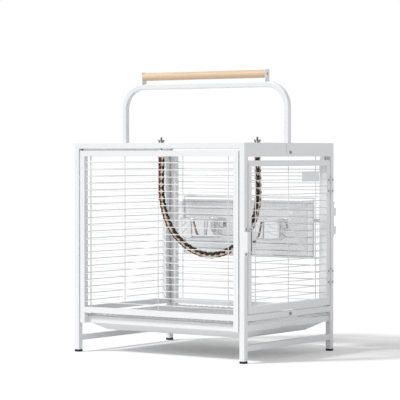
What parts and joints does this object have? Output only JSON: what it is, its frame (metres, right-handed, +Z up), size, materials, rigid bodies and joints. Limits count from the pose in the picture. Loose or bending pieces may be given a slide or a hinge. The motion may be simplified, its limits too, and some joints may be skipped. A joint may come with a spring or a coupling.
{
  "type": "bird cage",
  "caption": "Table-top bird cage of wire panels on a square tube frame, with a carrying handle that holds a perch, a side door, a rear feeder door, a pull-out tray and a rope perch.",
  "frame": {"origin": "on the floor under the middle of the object's box", "axes": "+Z up; +X along the long side towards the bird's door; +Y along the short side towards the feeder door"},
  "size_m": [0.5733, 0.4444, 0.762],
  "materials": {
    "frame_paint": "semi-gloss powder coat",
    "wire_paint": "semi-gloss powder coat",
    "foot_plastic": "matt black moulding",
    "screw_steel": "zinc plated",
    "nut_steel": "zinc plated",
    "ferrule_plastic": "glossy white",
    "rope_fibre": "twisted rope with dark and rust strands",
    "dowel_wood": "sanded, unvarnished",
    "cup_steel": "mirror polished stainless steel",
    "guard_clear": "clear sheet"
  },
  "bodies": {
    "cage": {"post_front_left": "frame_paint", "post_front_right": "frame_paint", "post_back_left": "frame_paint", "post_back_right": "frame_paint", "foot_caps": "foot_plastic", "top_rail_front": "frame_paint", "top_rail_back": "frame_paint", "top_band_left": "frame_paint", "top_band_right": "frame_paint", "side_rail_left": "frame_paint", "side_rail_right": "frame_paint", "stretcher_left": "frame_paint", "stretcher_right": "frame_paint", "front_panel_frame": "frame_paint", "back_panel_frame": "frame_paint", "left_panel_stiles": "frame_paint", "panel_spacers": "frame_paint", "front_wires": "wire_paint", "left_wires": "wire_paint", "back_wires": "wire_paint", "roof_wires": "wire_paint", "roof_bar": "frame_paint", "handle_tube": "frame_paint", "frame_screws": "screw_steel", "perch_plates": "frame_paint", "perch_dowel": "dowel_wood", "perch_screws": "screw_steel", "rope_ferrules": "ferrule_plastic", "rope_bolts": "screw_steel", "rope_nuts_and_washers": "screw_steel", "rope_perch": "rope_fibre", "hinge_leaves_post": "frame_paint", "hinge_pins": "screw_steel", "latch_keeper": "frame_paint", "post_screws": "screw_steel", "tray_runner_front": "frame_paint", "tray_runner_back": "frame_paint", "runner_screws": "screw_steel", "feeder_loops": "frame_paint"},
    "door": {"door_frame": "frame_paint", "door_wires": "wire_paint", "door_plate": "frame_paint", "hinge_leaves_door": "frame_paint", "latch_case": "frame_paint", "door_screws": "screw_steel"},
    "latch_bar": {"latch_bar": "screw_steel"},
    "tray": {"tray": "frame_paint", "tray_pull": "frame_paint"},
    "grate": {"grate": "wire_paint"},
    "feeder_door": {"feeder_door": "wire_paint", "splash_guard": "guard_clear", "cup_ring_left": "wire_paint", "cup_ring_right": "wire_paint", "ring_screws": "screw_steel", "ring_nuts": "screw_steel"},
    "feeder_drop_rod": {"feeder_drop_rod": "wire_paint"},
    "cup_left": {"cup_left": "cup_steel"},
    "cup_right": {"cup_right": "cup_steel"},
    "wing_nut_left": {"wing_nut_left": "nut_steel"},
    "wing_nut_right": {"wing_nut_right": "nut_steel"}
  },
  "joints": [
    {"name": "door_hinge", "type": "hinge", "parent": "cage", "child": "door", "pos_m": [0.27565, 0.1918, 0.3275], "axis": [0, 0, 1], "range_deg": [0, 160]},
    {"name": "latch_slide", "type": "slide", "parent": "door", "child": "latch_bar", "axis": [0, -1, 0], "range_m": [0, 0.008]},
    {"name": "tray_slide", "type": "slide", "parent": "cage", "child": "tray", "axis": [1, 0, 0], "range_m": [0, 0.45]},
    {"name": "grate_slide", "type": "slide", "parent": "cage", "child": "grate", "axis": [1, 0, 0], "range_m": [0, 0.45]},
    {"name": "feeder_hinge", "type": "hinge", "parent": "cage", "child": "feeder_door", "pos_m": [-0.23125, 0.2023, 0.335], "axis": [0, 0, 1], "range_deg": [0, 110]},
    {"name": "drop_rod_slide", "type": "slide", "parent": "cage", "child": "feeder_drop_rod", "axis": [0, 0, -1], "range_m": [0, 0.012]},
    {"name": "cup_left_lift", "type": "slide", "parent": "feeder_door", "child": "cup_left", "axis": [0, 0, 1], "range_m": [0, 0.06]},
    {"name": "cup_right_lift", "type": "slide", "parent": "feeder_door", "child": "cup_right", "axis": [0, 0, 1], "range_m": [0, 0.06]},
    {"name": "wing_nut_left_spin", "type": "hinge", "parent": "cage", "child": "wing_nut_left", "pos_m": [-0.15185, -0.0067, 0.568], "axis": [0, 0, 1], "continuous": true},
    {"name": "wing_nut_right_spin", "type": "hinge", "parent": "cage", "child": "wing_nut_right", "pos_m": [0.16775, -0.0067, 0.568], "axis": [0, 0, 1], "continuous": true}
  ]
}
